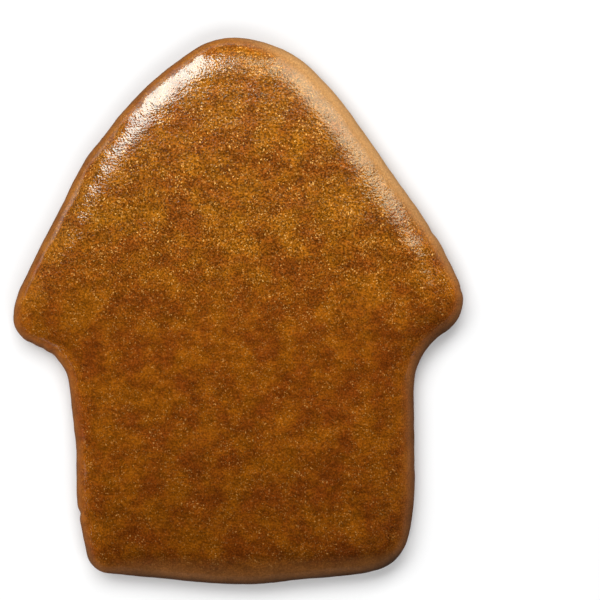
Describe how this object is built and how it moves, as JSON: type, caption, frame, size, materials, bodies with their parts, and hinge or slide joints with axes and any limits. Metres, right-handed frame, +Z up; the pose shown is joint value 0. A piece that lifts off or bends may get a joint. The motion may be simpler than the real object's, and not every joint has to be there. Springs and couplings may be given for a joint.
{
  "type": "house-shaped gingerbread biscuit",
  "caption": "Thick undecorated gingerbread biscuit cut in the outline of a house, with a glossy egg-washed top, lying flat on its base.",
  "frame": {"origin": "on the base, under the middle of the box round the house's outline", "axes": "+Z up out of the glazed top; +Y from the foot of the walls to the ridge of the roof; +X to the right when the glazed top is looked down on with the ridge away from the viewer"},
  "size_m": [0.0822, 0.1, 0.0088],
  "materials": {
    "crust": "satin"
  },
  "bodies": {
    "root": {"biscuit": "crust"}
  },
  "joints": []
}
